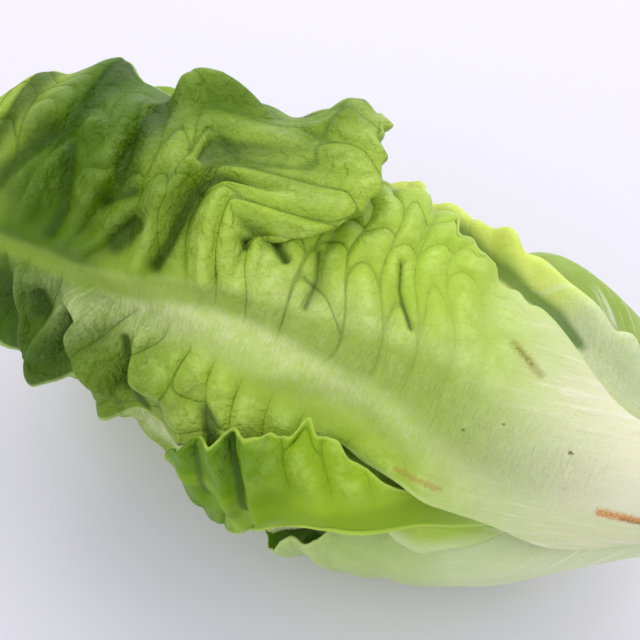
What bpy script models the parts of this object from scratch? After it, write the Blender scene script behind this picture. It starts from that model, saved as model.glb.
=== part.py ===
"""A romaine heart lying on its side: thirteen leaves wrapped round a short stem.

Metres, +Z up. The head's axis lies along X, with the cut end of the stem at +X and the leaf tips
at -X. Every place in the head is given by three numbers: s, the distance from the cut end along
the axis; phi, the angle round it, 0 at the top and growing towards the front (-Y); and r, the
distance from it. Each leaf keeps to a layer of its own, so that none cuts through another.
"""

import math

import bpy
import numpy as np

for old in list(bpy.data.objects):
    bpy.data.objects.remove(old)

MM = 0.001

# The head as a whole.
CUT_END_X = 78 * MM
AXIS_HEIGHT = 38 * MM
GIRTH_AT = np.array([0, 8, 20, 35, 55, 85, 105, 130, 150, 170]) * MM
GIRTH_RADIUS = np.array([14.5, 16, 22.5, 31, 37, 40, 38.5, 35.5, 32.5, 27]) * MM

# Towards the tips the head bends up and away from the front.
BEND_AT = np.array([0, 80, 105, 130, 160, 180]) * MM
BEND = np.array([0, 0, 7, 11, 13, 14]) * MM
BEND_ANGLE = math.radians(-50)

# The space between layers, and the room in a layer for the blade's own waves.
GAP_AT_STEM = 0.75 * MM
GAP_IN_BLADES = 1.0 * MM
WAVE_ROOM = 1.6 * MM
ROOM_USED = 0.75
ROOM_GROWS = (25 * MM, 75 * MM)

# The stem: its cut end stands out of the leaf bases, and it tapers inside the head.
STEM_AT = np.array([0, 1.2, 3.2, 4.6, 6.5, 9, 13, 18, 24, 31, 39, 47]) * MM
STEM_RADIUS = np.array([12.2, 13.2, 12.8, 10.4, 9.8, 9.4, 8.8, 8, 7, 5.8, 4.4, 2.5]) * MM
STEM_GAP = 0.5 * MM
CORE_RADIUS = 5 * MM

# The heart's own leaves stand a little further in, and fill what the outer ones leave.
HEART_GAP = 1.1 * MM
OUTER_LAYERS = 3.0
HEART_LAYERS = 2.6
HEART_OPENS = (8 * MM, 45 * MM)
MOST_SPREAD = 2.4

# A leaf covers what lies inside it up to its margin, and the next layer rises beyond that.
COVER_PAD = 2.5 * MM
COVER_FALL = 9 * MM
BASE_PAD = 1 * MM
BASE_FALL = 2.5 * MM
TIP_PAD = 4 * MM
TIP_FALL = 10 * MM

# Along this stretch the front leaf's margin comes out from under the top leaf and climbs over it.
CROSSING = (48 * MM, 62 * MM)

# Shares of a leaf's length where its half widths, its rib and its blade's thickness are given.
# The layer keeps room for a rib that is wider than the leaf's own by RIB_SLOT.
WIDTH_AT = (0, 0.1, 0.2, 0.3, 0.4, 0.5, 0.65, 0.8, 0.9, 1.0)
RIB_AT = (0, 0.25, 0.50, 0.75, 1.0)
OUTER_RIB = (4.4, 4.0, 3.0, 2.2, 1.2)
MIDDLE_RIB = (3.0, 2.9, 2.3, 1.7, 1.1)
INNER_RIB = (2.1, 2.1, 2.0, 1.5, 1.0)
RIB_HALF_WIDTH = (8.5, 7.5, 5.0, 3.2, 1.8)
RIB_SLOT = 1.35
BLADE_THICKNESS_AT = (0, 0.2, 0.4, 1.0)
BLADE_THICKNESS = (1.5, 1.1, 0.75, 0.7)
TIP_ROUNDING = 0.10
TIP_ROUNDED_FROM = 0.7
TIP_ROUNDING_POWER = 2.2

# The pleats between side veins, the wave of the margin and its low teeth.
PLEAT_LENGTH = 15 * MM
PLEAT_SLANT = 0.1
PLEAT_LEAN = 0.4
PLEATS_START = (45 * MM, 105 * MM)
PLEATS_OFF_RIB = (5 * MM, 20 * MM)
RUFFLE_LENGTH = 30 * MM
RUFFLE_SWING = 0.45
RUFFLED_MARGIN = (0.62, 1.0)
RUFFLED_LENGTH = (0.15, 0.35)
TOOTH_LENGTH = 13 * MM
TOOTH_HEIGHT = 0.025
TOOTHED_MARGIN = (0.8, 1.0)
TOOTHED_LENGTH = (0.2, 0.4)

# The bottom leaf is flat this far to each side of straight down.
FLAT_SECTOR = (math.radians(26), math.radians(40))

# The top leaf's back half folds over towards the stem between these stations along the axis. Past
# FOLD_SLANT_FROM the fold begins further and further from the rib.
FOLD_FOOT = (91 * MM, 100 * MM)
FOLD_BACK = (106 * MM, 122 * MM)
FOLD_LEAN_BACK = (104 * MM, 140 * MM)
FOLD_SLANT_FROM = 97 * MM
FOLD_SLANT = 1.2
FOLD_BEGINS = (17 * MM, 24 * MM)
FOLD_REACH = 15 * MM
FOLD_LOBE = 8 * MM
FOLD_LOBE_AT = 36 * MM
FOLD_LOBE_WIDTH = 13 * MM
FOLD_HEIGHT = 5 * MM
FOLD_MARGIN_HEIGHT = 8 * MM
FOLD_RISES = (22 * MM, 60 * MM)
FOLD_ROWS_AT = 0.56
FOLD_ROWS_CROWD = 0.5

# Past the lobe that margin flares up in smooth waves: each one's station, half length and height.
FLARE_SMOOTH = 0.75
FLARE_FROM = (80 * MM, 110 * MM)
FLARE_LIES = (0.45, 0.85)
FLARED_MARGIN = (0.6, 1.0)
FLARE_WAVES = ((123 * MM, 4 * MM, 7 * MM), (143.5 * MM, 5.5 * MM, 7 * MM), (157 * MM, 4 * MM, 3 * MM))

# Beside the stem the back leaf's thick base bulges out.
BULGE_AT = (34 * MM, 12 * MM)
BULGE_ACROSS = (17 * MM, 9 * MM)
BULGE_HEIGHT = 5 * MM

# Columns of a leaf's mesh lie a little closer together at its rib.
COLUMN_POWER = 1.2
STEM_SIDES = 26

FRONT, TOP = 0, 1
FIRST_OF_HEART = 7


class Leaf:
    """One leaf: its name, the angle of its rib at the base and how far that drifts towards the
    tip, where it starts and ends along the axis, its half widths in degrees towards smaller and
    larger phi, its rib's thickness in mm, how far its rib, its pleats and its wavy margin stand
    out in mm where nothing covers it, and its mesh's rows and columns."""

    def __init__(self, name, angle, drift, base, tip, low, high, rib, raised, pleat, ruffle, grid, colour):
        self.name = name
        self.angle = math.radians(angle)
        self.drift = math.radians(drift)
        self.base = base * MM
        self.tip = tip * MM
        self.length = self.tip - self.base
        self.low = np.radians(low)
        self.high = np.radians(high)
        self.rib = np.array(rib) * MM
        self.raised = raised * MM
        self.pleat = pleat * MM
        self.ruffle = ruffle * MM
        self.rows, self.columns = grid
        self.colour = colour

    def middle(self, u):
        """The angle of the rib at this share of the length."""
        return self.angle + self.drift * u * u


DEEP_GREEN = (0.13, 0.30, 0.05)
BRIGHT_GREEN = (0.22, 0.45, 0.05)
PALE_GREEN = (0.45, 0.60, 0.22)
HEART_YELLOW = (0.62, 0.68, 0.25)
STEM_WHITE = (0.68, 0.72, 0.50)

# From the outermost layer to the innermost.
LEAVES = (
    Leaf(
        "leaf_front", 60, 32, 6, 101,
        (11, 11, 13, 12, 6, 8.5, 25, 22, 17, 8),
        (14, 11, 7, 5, 6, 4, 2, 15, 22, 13),
        MIDDLE_RIB, 0.3, 0.6, 0.8, (28, 10), BRIGHT_GREEN,
    ),
    Leaf(
        "leaf_top", 38, 14, 4, 172,
        (34, 29, 48, 62, 82, 92, 94, 88, 74, 34),
        (46, 46, 27, 18, 13, 38, 44, 42, 36, 20),
        OUTER_RIB, 2.5, 2.6, 3.0, (48, 18), DEEP_GREEN,
    ),
    Leaf(
        "leaf_shoulder", -12, 0, 4, 158,
        (28, 22, 22, 36, 73, 88, 88, 83, 68, 30),
        (30, 34, 44, 50, 56, 60, 60, 56, 46, 22),
        MIDDLE_RIB, 0.5, 1.5, 1.5, (26, 10), BRIGHT_GREEN,
    ),
    Leaf(
        "leaf_back", -85, 0, 4, 165,
        (42, 48, 54, 56, 57, 58, 56, 50, 40, 20),
        (40, 62, 70, 62, 50, 45, 45, 40, 30, 14),
        OUTER_RIB, 1.5, 2.0, 3.0, (26, 12), PALE_GREEN,
    ),
    Leaf(
        "leaf_front_low", 30, 0, 8, 140,
        (40, 40, 50, 56, 60, 64, 66, 60, 50, 25),
        (36, 37, 46, 53, 45, 40, 42, 40, 36, 22),
        MIDDLE_RIB, 0.5, 1.0, 1.0, (22, 10), BRIGHT_GREEN,
    ),
    Leaf(
        "leaf_under", 150, 35, 4, 160,
        (50, 70, 84, 88, 60, 30, 25, 28, 25, 14),
        (45, 50, 60, 75, 82, 82, 73, 60, 50, 26),
        OUTER_RIB, 1.0, 1.0, 1.5, (32, 16), PALE_GREEN,
    ),
    Leaf(
        "leaf_back_low", 232, 0, 7, 160,
        (26, 44, 54, 64, 70, 74, 74, 66, 50, 22),
        (24, 40, 54, 64, 72, 76, 76, 66, 50, 22),
        MIDDLE_RIB, 1.0, 2.0, 2.0, (24, 12), BRIGHT_GREEN,
    ),
    Leaf(
        "inner_leaf_1", 95, 0, 11, 150,
        (30, 38, 50, 62, 72, 78, 80, 72, 52, 22),
        (30, 38, 50, 62, 72, 78, 80, 72, 52, 22),
        MIDDLE_RIB, 0.5, 1.5, 1.0, (22, 10), BRIGHT_GREEN,
    ),
    Leaf(
        "inner_leaf_2", 338, 0, 15, 150,
        (30, 38, 50, 62, 72, 78, 80, 72, 52, 22),
        (30, 38, 50, 62, 72, 78, 80, 72, 52, 22),
        MIDDLE_RIB, 0.5, 1.5, 1.0, (20, 10), PALE_GREEN,
    ),
    Leaf(
        "inner_leaf_3", 200, 0, 19, 148,
        (32, 42, 54, 68, 80, 84, 86, 78, 56, 24),
        (32, 42, 54, 68, 80, 84, 86, 78, 56, 24),
        INNER_RIB, 0.5, 1.2, 1.0, (18, 10), PALE_GREEN,
    ),
    Leaf(
        "inner_leaf_4", 60, 0, 23, 142,
        (34, 44, 58, 72, 84, 88, 90, 82, 60, 26),
        (34, 44, 58, 72, 84, 88, 90, 82, 60, 26),
        INNER_RIB, 0.5, 1.2, 1.0, (16, 10), PALE_GREEN,
    ),
    Leaf(
        "inner_leaf_5", 285, 0, 27, 135,
        (36, 48, 62, 76, 88, 92, 94, 86, 62, 28),
        (36, 48, 62, 76, 88, 92, 94, 86, 62, 28),
        INNER_RIB, 0.5, 0.8, 0.8, (18, 10), HEART_YELLOW,
    ),
    Leaf(
        "inner_leaf_6", 150, 0, 31, 127,
        (38, 50, 64, 80, 92, 96, 98, 90, 66, 30),
        (38, 50, 64, 80, 92, 96, 98, 90, 66, 30),
        INNER_RIB, 0.5, 1.0, 1.0, (14, 8), HEART_YELLOW,
    ),
)


def through(x, stations, values):
    """A smooth curve through the given stations: cubic pieces with level ends beyond them."""
    xs = np.asarray(stations, float)
    ys = np.asarray(values, float)
    slopes = np.gradient(ys, xs)
    x = np.clip(x, xs[0], xs[-1])
    i = np.clip(np.searchsorted(xs, x, side="right") - 1, 0, len(xs) - 2)
    span = xs[i + 1] - xs[i]
    t = (x - xs[i]) / span
    start = (1 + 2 * t) * (1 - t) ** 2 * ys[i] + t * (1 - t) ** 2 * span * slopes[i]
    end = t * t * (3 - 2 * t) * ys[i + 1] + t * t * (t - 1) * span * slopes[i + 1]
    return start + end


def ramp(x, low, high):
    """0 below low, 1 above high, and a smooth step between them."""
    t = np.clip((x - low) / (high - low), 0, 1)
    return t * t * (3 - 2 * t)


def wrapped(angle):
    """The angle between -pi and pi."""
    return (angle + math.pi) % (2 * math.pi) - math.pi


def bend(s):
    """How far the axis has moved in y and z at this station."""
    off = through(s, BEND_AT, BEND)
    return -off * math.sin(BEND_ANGLE), off * math.cos(BEND_ANGLE)


def girth(phi, s):
    """The head's own outer radius: round, and cut flat by the surface that it lies on."""
    round_radius = through(s, GIRTH_AT, GIRTH_RADIUS)
    down = np.maximum(-np.cos(phi), 1e-3)
    return np.minimum(round_radius, (AXIS_HEIGHT + bend(s)[1]) / down)


def gap_at(s):
    return GAP_AT_STEM + (GAP_IN_BLADES - GAP_AT_STEM) * ramp(s, *ROOM_GROWS)


def room_at(s):
    return WAVE_ROOM * ramp(s, *ROOM_GROWS)


def thickness_at(leaf, arc, s, widen=1.0):
    """(the blade's thickness, the leaf's at this distance from its rib's middle line)"""
    share = np.clip((s - leaf.base) / leaf.length, 0, 1)
    blade = through(share, BLADE_THICKNESS_AT, BLADE_THICKNESS) * MM
    rib = np.maximum(through(share, RIB_AT, leaf.rib), blade)
    half = through(share, RIB_AT, RIB_HALF_WIDTH) * MM * widen
    return blade, blade + (rib - blade) * np.exp(-((arc / half) ** 2))


def cover(leaf, phi, s):
    """How far the leaf covers this place: 1 under it, 0 well past its margins and ends."""
    share = np.clip((s - leaf.base) / leaf.length, 0, 1)
    off = wrapped(phi - leaf.middle(share))
    half = np.where(off < 0, through(share, WIDTH_AT, leaf.low), through(share, WIDTH_AT, leaf.high))
    beyond = (np.abs(off) - half) * through(s, GIRTH_AT, GIRTH_RADIUS)
    beside = 1 - ramp(beyond, COVER_PAD, COVER_PAD + COVER_FALL)
    begins = ramp(s, leaf.base - BASE_PAD - BASE_FALL, leaf.base - BASE_PAD)
    ends = 1 - ramp(s, leaf.tip + TIP_PAD, leaf.tip + TIP_PAD + TIP_FALL)
    return beside * begins * ends


def slot(leaf, phi, s):
    """The depth of the leaf's layer here: the leaf, room for its waves and the gap above it."""
    share = np.clip((s - leaf.base) / leaf.length, 0, 1)
    arc = wrapped(phi - leaf.middle(share)) * through(s, GIRTH_AT, GIRTH_RADIUS)
    _, thickness = thickness_at(leaf, arc, s, widen=RIB_SLOT)
    return thickness + room_at(s) + gap_at(s)


def front_over_top(s):
    """0 where the front leaf lies under the top leaf, 1 where it lies over it."""
    return ramp(s, *CROSSING)


def outside(j, i, s):
    """How far leaf j counts as lying outside what has the order i at this station."""
    none = np.zeros_like(s)
    if j == FRONT:
        return 1 - front_over_top(s) if i > TOP else none
    if i == FRONT:
        return 1 - front_over_top(s) if j == TOP else none
    return none + 1 if j < i else none


def spread(s):
    """How much deeper than its slot an inner leaf's layer is, so that the heart fills the head."""
    usual = BLADE_THICKNESS[0] * MM + room_at(s) + gap_at(s)
    left = through(s, GIRTH_AT, GIRTH_RADIUS) - CORE_RADIUS - OUTER_LAYERS * usual
    heart = HEART_LAYERS * usual * np.maximum(ramp(s, *HEART_OPENS), 0.1)
    return np.clip(left / heart, 1, MOST_SPREAD)


def layer_top(order, phi, s):
    """(radius under the leaves that lie outside this one, how far they cover it)"""
    depth = np.full(np.broadcast(phi, s).shape, HEART_GAP if order >= FIRST_OF_HEART else 0.0)
    covered = np.zeros_like(depth)
    for j, leaf in enumerate(LEAVES):
        weight = outside(j, order, s)
        if j == order or np.max(weight) == 0:
            continue
        share = cover(leaf, phi, s) * weight
        depth += share * slot(leaf, phi, s) * (spread(s) if j >= FIRST_OF_HEART else 1)
        covered = np.maximum(covered, share)
    front = LEAVES[FRONT]
    if order == FRONT:
        depth -= front_over_top(s) * slot(front, phi, s)
    else:
        covered = np.maximum(covered, cover(front, phi, s) * front_over_top(s))
    return girth(phi, s) - depth, covered


def place(r, phi, s):
    """The point at these three places in the head, in metres."""
    aside, up = bend(s)
    return np.stack([CUT_END_X - s, aside - r * np.sin(phi), AXIS_HEIGHT + up + r * np.cos(phi)], -1)


def top_leaf_fold(arc, s):
    """(lift, lean towards the stem) of the lobe that the top leaf's back half folds over."""
    begins = FOLD_SLANT * np.maximum(s - FOLD_SLANT_FROM, 0)
    lobe = ramp(s, *FOLD_FOOT) * ramp(-arc - begins, *FOLD_BEGINS)
    lift = FOLD_HEIGHT + FOLD_MARGIN_HEIGHT * ramp(-arc, *FOLD_RISES)
    reach = FOLD_REACH + FOLD_LOBE * np.exp(-(((-arc - FOLD_LOBE_AT) / FOLD_LOBE_WIDTH) ** 2))
    return lobe * lift * (1 - ramp(s, *FOLD_BACK)), lobe * reach * (1 - ramp(s, *FOLD_LEAN_BACK))


def top_leaf_flare(arc, s, side, lift):
    """The lift with the back margin's smooth flare."""
    back = arc < 0
    lift = lift * (1 - FLARE_SMOOTH * ramp(side, *FLARE_LIES) * back * ramp(s, *FLARE_FROM))
    for at, half_length, height in FLARE_WAVES:
        lift += height * np.exp(-(((s - at) / half_length) ** 2)) * ramp(side, *FLARED_MARGIN) * back
    return lift


def back_leaf_bulge(arc, s):
    along = (s - BULGE_AT[0]) / BULGE_AT[1]
    across = (arc - BULGE_ACROSS[0]) / BULGE_ACROSS[1]
    return BULGE_HEIGHT * np.exp(-(along**2 + across**2))


def leaf_skins(order, u, v):
    """The outer and inner skin of a leaf on a grid, u along it and v from margin to margin.

    The blade lies in its layer. Its rib, its pleats and its wavy margin also stand out of the
    layer as far as what covers the leaf leaves room.
    """
    leaf = LEAVES[order]
    side = np.abs(v)
    rounding = TIP_ROUNDING * ramp(u, TIP_ROUNDED_FROM, 1)
    s = leaf.base + leaf.length * (u - rounding * side**TIP_ROUNDING_POWER)
    share = (s - leaf.base) / leaf.length
    half = np.where(v < 0, through(share, WIDTH_AT, leaf.low), through(share, WIDTH_AT, leaf.high))
    teeth = TOOTH_HEIGHT * np.sin(2 * math.pi * s / TOOTH_LENGTH + 2 * order + v)
    teeth = teeth * ramp(side, *TOOTHED_MARGIN) * ramp(u, *TOOTHED_LENGTH)
    phi = leaf.middle(share) + v * half * (1 + teeth)
    top, covered = layer_top(order, phi, s)
    free = (1 - covered) ** 2
    arc = v * half * through(s, GIRTH_AT, GIRTH_RADIUS)
    blade, thickness = thickness_at(leaf, arc, s)
    bump = (thickness - blade) / np.maximum(through(share, RIB_AT, leaf.rib) - blade, 0.1 * MM)

    # The numbers below that aren't named only shift one leaf's waves from another's.
    off_rib = ramp(np.abs(arc), *PLEATS_OFF_RIB)
    pleats = (s - PLEAT_SLANT * np.abs(arc)) / PLEAT_LENGTH
    wave = off_rib * np.abs(np.sin(math.pi * pleats + 0.4 * np.sign(v) + order))
    standing = wave * ramp(s, *PLEATS_START) * leaf.pleat * free
    lift = wave * ROOM_USED * room_at(s) + standing
    swing = np.sin(2 * math.pi * s / RUFFLE_LENGTH + 2.3 * order + 1.5 * np.sign(v))
    ruffle = 1 - RUFFLE_SWING + RUFFLE_SWING * swing
    lift += leaf.ruffle * free * ruffle * ramp(side, *RUFFLED_MARGIN) * ramp(u, *RUFFLED_LENGTH)
    lift += leaf.raised * free * bump
    lean = PLEAT_LEAN * standing
    if leaf.name == "leaf_top":
        fold_lift, fold_lean = top_leaf_fold(arc, s)
        lift = top_leaf_flare(arc, s, side, lift) + fold_lift
        lean += fold_lean
    if leaf.name == "leaf_back":
        lift += back_leaf_bulge(arc, s) * free

    radius = top - gap_at(s) - room_at(s) - thickness / 2 + lift
    lifted = np.ones_like(radius)
    if leaf.name == "leaf_under":
        lifted = ramp(np.abs(wrapped(phi - math.pi)), *FLAT_SECTOR)
        lowest = girth(phi, s) - thickness / 2
        radius = lowest + (radius - lowest) * lifted
    points = place(radius, phi, s - lean)

    normal = np.cross(np.gradient(points, axis=0), np.gradient(points, axis=1))
    normal /= np.linalg.norm(normal, axis=-1, keepdims=True)
    outward = place(1.0, phi, s) - place(0.0, phi, s)
    normal *= np.sign(np.sum(normal * outward, -1).mean())
    normal = normal * lifted[..., None] + outward * (1 - lifted)[..., None]
    half_skin = normal * blade[..., None] / 2 + outward * (thickness - blade)[..., None] / 2
    outer = points + half_skin
    outer[..., 2] = np.maximum(outer[..., 2], 0)
    return outer, points - half_skin


def closed_sheet(name, outer, inner, colour):
    """A solid between two skins on the same grid, both split into triangles alike."""
    rows, columns = outer.shape[:2]
    points = np.concatenate([outer.reshape(-1, 3), inner.reshape(-1, 3)])
    index = np.arange(rows * columns).reshape(rows, columns)
    a, b = index[:-1, :-1].ravel(), index[:-1, 1:].ravel()
    c, d = index[1:, 1:].ravel(), index[1:, :-1].ravel()
    first = np.concatenate([np.stack([a, b, c], 1), np.stack([a, c, d], 1)])
    shift = rows * columns
    rim = np.concatenate([index[0, :], index[1:, -1], index[-1, -2::-1], index[-2:0:-1, 0]])
    after = np.roll(rim, -1)
    walls = np.concatenate(
        [np.stack([after, rim, rim + shift], 1), np.stack([after, rim + shift, after + shift], 1)]
    )
    faces = np.concatenate([first, first[:, ::-1] + shift, walls])
    return add_object(name, points, faces, colour)


def add_object(name, points, faces, colour):
    """A closed solid with its faces turned outwards."""
    corners = points[faces]
    volume = np.einsum("ij,ij->i", corners[:, 0], np.cross(corners[:, 1], corners[:, 2])).sum()
    if volume < 0:
        faces = faces[:, ::-1]
    mesh = bpy.data.meshes.new(name)
    mesh.from_pydata(points.tolist(), [], faces.tolist())
    mesh.shade_smooth()
    mesh.materials.append(plant_material(name, colour))
    made = bpy.data.objects.new(name, mesh)
    bpy.context.scene.collection.objects.link(made)
    return made


def plant_material(name, colour):
    material = bpy.data.materials.new(name)
    material.use_nodes = True
    shader = material.node_tree.nodes["Principled BSDF"]
    shader.inputs["Base Color"].default_value = (*colour, 1)
    shader.inputs["Roughness"].default_value = 0.45
    shader.inputs["Metallic"].default_value = 0
    return material


def add_leaf(order):
    leaf = LEAVES[order]
    t = np.linspace(0, 1, leaf.rows + 1)
    if leaf.name == "leaf_top":
        # Rows lie closer together where the leaf folds over.
        turn = 2 * math.pi * (t - FOLD_ROWS_AT)
        start = math.sin(-2 * math.pi * FOLD_ROWS_AT)
        t = t - FOLD_ROWS_CROWD * (np.sin(turn) - start) / (2 * math.pi)
    even = np.linspace(-1, 1, leaf.columns + 1)
    v = np.sign(even) * np.abs(even) ** COLUMN_POWER
    across, along = np.meshgrid(v, t)
    outer, inner = leaf_skins(order, along, across)
    return closed_sheet(leaf.name, outer, inner, leaf.colour)


def add_stem():
    """The stem fills what the leaf bases leave round the axis, and tapers to a blunt tip."""
    rings, sides = len(STEM_AT) - 1, STEM_SIDES
    step = 2 * math.pi / sides
    around, along = np.meshgrid(np.arange(sides) * step, STEM_AT)
    radius = np.repeat(STEM_RADIUS[:, None], sides, axis=1)
    for ahead in (0, 1, 2):
        near_s = np.concatenate([STEM_AT[:1], STEM_AT, STEM_AT[-1:]])[ahead : ahead + rings + 1]
        for aside in (-step, 0, step):
            top, _ = layer_top(len(LEAVES), around + aside, near_s[:, None] + 0 * around)
            radius = np.minimum(radius, top - STEM_GAP)
    skin = place(radius, around, along).reshape(-1, 3)
    centres = place(np.zeros(2), np.zeros(2), STEM_AT[[0, -1]])
    points = np.concatenate([skin, centres])
    index = np.arange((rings + 1) * sides).reshape(rings + 1, sides)
    beside = np.roll(index, -1, axis=1)
    a, b, c, d = index[:-1].ravel(), beside[:-1].ravel(), beside[1:].ravel(), index[1:].ravel()
    near, far = len(skin), len(skin) + 1
    faces = np.concatenate(
        [
            np.stack([a, b, c], 1),
            np.stack([a, c, d], 1),
            np.stack([beside[0], index[0], np.full(sides, near)], 1),
            np.stack([index[-1], beside[-1], np.full(sides, far)], 1),
        ]
    )
    return add_object("stem", points, faces, STEM_WHITE)


add_stem()
for number in range(len(LEAVES)):
    add_leaf(number)
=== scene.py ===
"""The looks of a romaine heart that lies on its side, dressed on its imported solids.

Metres, +Z up. The head's axis lies along X, with the cut end of the stem at +X and the leaf tips
at -X. Every place in the head is given by three numbers: s, the distance from the cut end along
the axis; phi, the angle round it, 0 at the top and growing towards the front (-Y); and r, the
distance from it. Where a leaf is laid out flat, a is the distance across it from its rib.
"""

import math

import bpy
import numpy as np
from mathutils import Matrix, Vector


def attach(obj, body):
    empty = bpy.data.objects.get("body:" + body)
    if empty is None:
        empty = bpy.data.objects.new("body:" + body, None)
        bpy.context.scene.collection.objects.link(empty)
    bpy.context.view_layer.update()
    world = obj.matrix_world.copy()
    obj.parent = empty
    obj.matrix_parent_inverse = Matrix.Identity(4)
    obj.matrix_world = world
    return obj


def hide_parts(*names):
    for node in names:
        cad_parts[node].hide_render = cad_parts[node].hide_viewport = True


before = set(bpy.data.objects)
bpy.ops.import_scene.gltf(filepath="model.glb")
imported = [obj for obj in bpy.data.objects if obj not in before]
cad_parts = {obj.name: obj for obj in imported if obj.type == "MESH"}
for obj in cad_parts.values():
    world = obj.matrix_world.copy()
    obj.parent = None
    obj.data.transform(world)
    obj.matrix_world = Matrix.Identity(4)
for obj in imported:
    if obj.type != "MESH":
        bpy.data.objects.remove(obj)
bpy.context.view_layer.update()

# The head. Thirteen leaves lie round a short stem, each in a layer of its own, so that none cuts
# through another. The head is round, cut flat by the surface that it lies on, and bends up and
# back towards its tips. These are the sizes and rules that its solids were made by.

MM = 0.001
CUT_END_X = 78 * MM
AXIS_HEIGHT = 38 * MM
GIRTH_AT = np.array([0, 8, 20, 35, 55, 85, 105, 130, 150, 170]) * MM
GIRTH_RADIUS = np.array([14.5, 16, 22.5, 31, 37, 40, 38.5, 35.5, 32.5, 27]) * MM
BEND_AT = np.array([0, 80, 105, 130, 160, 180]) * MM
BEND = np.array([0, 0, 7, 11, 13, 14]) * MM
BEND_ANGLE = math.radians(-50)
GAP_AT_STEM = 0.75 * MM
GAP_IN_BLADES = 1.0 * MM
WAVE_ROOM = 1.6 * MM
ROOM_USED = 0.75
ROOM_GROWS = (25 * MM, 75 * MM)
HEART_GAP = 1.1 * MM
CORE_RADIUS = 5 * MM
OUTER_LAYERS = 3.0
HEART_LAYERS = 2.6
HEART_OPENS = (8 * MM, 45 * MM)
MOST_SPREAD = 2.4
COVER_PAD = 2.5 * MM
COVER_FALL = 9 * MM
BASE_PAD = 1 * MM
BASE_FALL = 2.5 * MM
TIP_PAD = 4 * MM
TIP_FALL = 10 * MM
CROSSING = (48 * MM, 62 * MM)
WIDTH_AT = (0, 0.1, 0.2, 0.3, 0.4, 0.5, 0.65, 0.8, 0.9, 1.0)
RIB_AT = (0, 0.25, 0.50, 0.75, 1.0)
OUTER_RIB = (4.4, 4.0, 3.0, 2.2, 1.2)
MIDDLE_RIB = (3.0, 2.9, 2.3, 1.7, 1.1)
INNER_RIB = (2.1, 2.1, 2.0, 1.5, 1.0)
RIB_HALF_WIDTH = (8.5, 7.5, 5.0, 3.2, 1.8)
RIB_SLOT = 1.35
BLADE_THICKNESS_AT = (0, 0.2, 0.4, 1.0)
BLADE_THICKNESS = (1.5, 1.1, 0.75, 0.7)
FRONT, TOP = 0, 1
FIRST_OF_HEART = 7
PLEAT_SLANT = 0.1
leaves = []


class Leaf:
    """One leaf: its name, the angle of its rib at the base and how far that drifts towards the
    tip, where it starts and ends along the axis, its half widths in degrees towards smaller and
    larger phi, its rib's thickness in mm, how far its rib, its pleats and its wavy margin stand
    out in mm where nothing covers it, and its mesh's rows and columns.

    The pleats' slant and phase are given for the sides of smaller and of larger phi. The pleats
    lean towards the stem. With a skew above 1 each is steeper on the side that it leans to, and
    those of the second side lean towards the tip. Each of the notches, on the first side's
    margin, is its station and half length in mm and how far the margin moves out there, as a
    share of the half width, or in where that is below 0."""

    def __init__(self, name, angle, drift, base, tip, low, high, rib, raised, pleat, ruffle, grid):
        self.name = name
        self.angle = math.radians(angle)
        self.drift = math.radians(drift)
        self.base = base * MM
        self.tip = tip * MM
        self.length = self.tip - self.base
        self.low = np.radians(low)
        self.high = np.radians(high)
        self.rib = np.array(rib) * MM
        self.raised = raised * MM
        self.pleat = pleat * MM
        self.ruffle = ruffle * MM
        self.rows, self.columns = grid
        self.order = len(leaves)
        self.pleat_slant = (PLEAT_SLANT, PLEAT_SLANT)
        self.pleat_phase = ((self.order - 0.4) / math.pi, (self.order + 0.4) / math.pi)
        self.pleat_skew = 1.0
        self.notches = ()
        leaves.append(self)

    def middle(self, u):
        """The angle of the rib at this share of the length."""
        return self.angle + self.drift * u * u


def through(x, stations, values):
    """A smooth curve through the given stations: cubic pieces with level ends beyond them."""
    xs = np.asarray(stations, float)
    ys = np.asarray(values, float)
    slopes = np.gradient(ys, xs)
    x = np.clip(x, xs[0], xs[-1])
    i = np.clip(np.searchsorted(xs, x, side="right") - 1, 0, len(xs) - 2)
    span = xs[i + 1] - xs[i]
    t = (x - xs[i]) / span
    start = (1 + 2 * t) * (1 - t) ** 2 * ys[i] + t * (1 - t) ** 2 * span * slopes[i]
    end = t * t * (3 - 2 * t) * ys[i + 1] + t * t * (t - 1) * span * slopes[i + 1]
    return start + end


def ramp(x, low, high):
    """0 below low, 1 above high, and a smooth step between them."""
    t = np.clip((x - low) / (high - low), 0, 1)
    return t * t * (3 - 2 * t)


def wrapped(angle):
    """The angle between -pi and pi."""
    return (angle + math.pi) % (2 * math.pi) - math.pi


def bend(s):
    """How far the axis has moved in y and z at this station."""
    off = through(s, BEND_AT, BEND)
    return -off * math.sin(BEND_ANGLE), off * math.cos(BEND_ANGLE)


def place(r, phi, s):
    """The point at these three places in the head, in metres."""
    aside, up = bend(s)
    return np.stack([CUT_END_X - s, aside - r * np.sin(phi), AXIS_HEIGHT + up + r * np.cos(phi)], -1)


def girth(phi, s):
    """The head's own outer radius: round, and cut flat by the surface that it lies on."""
    round_radius = through(s, GIRTH_AT, GIRTH_RADIUS)
    down = np.maximum(-np.cos(phi), 1e-3)
    return np.minimum(round_radius, (AXIS_HEIGHT + bend(s)[1]) / down)


def gap_at(s):
    """The gap between two layers here, a little wider among the blades than at the stem."""
    return GAP_AT_STEM + (GAP_IN_BLADES - GAP_AT_STEM) * ramp(s, *ROOM_GROWS)


def room_at(s):
    """The room that a layer leaves for its leaf's waves: none at the stem, all among the blades."""
    return WAVE_ROOM * ramp(s, *ROOM_GROWS)


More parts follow.
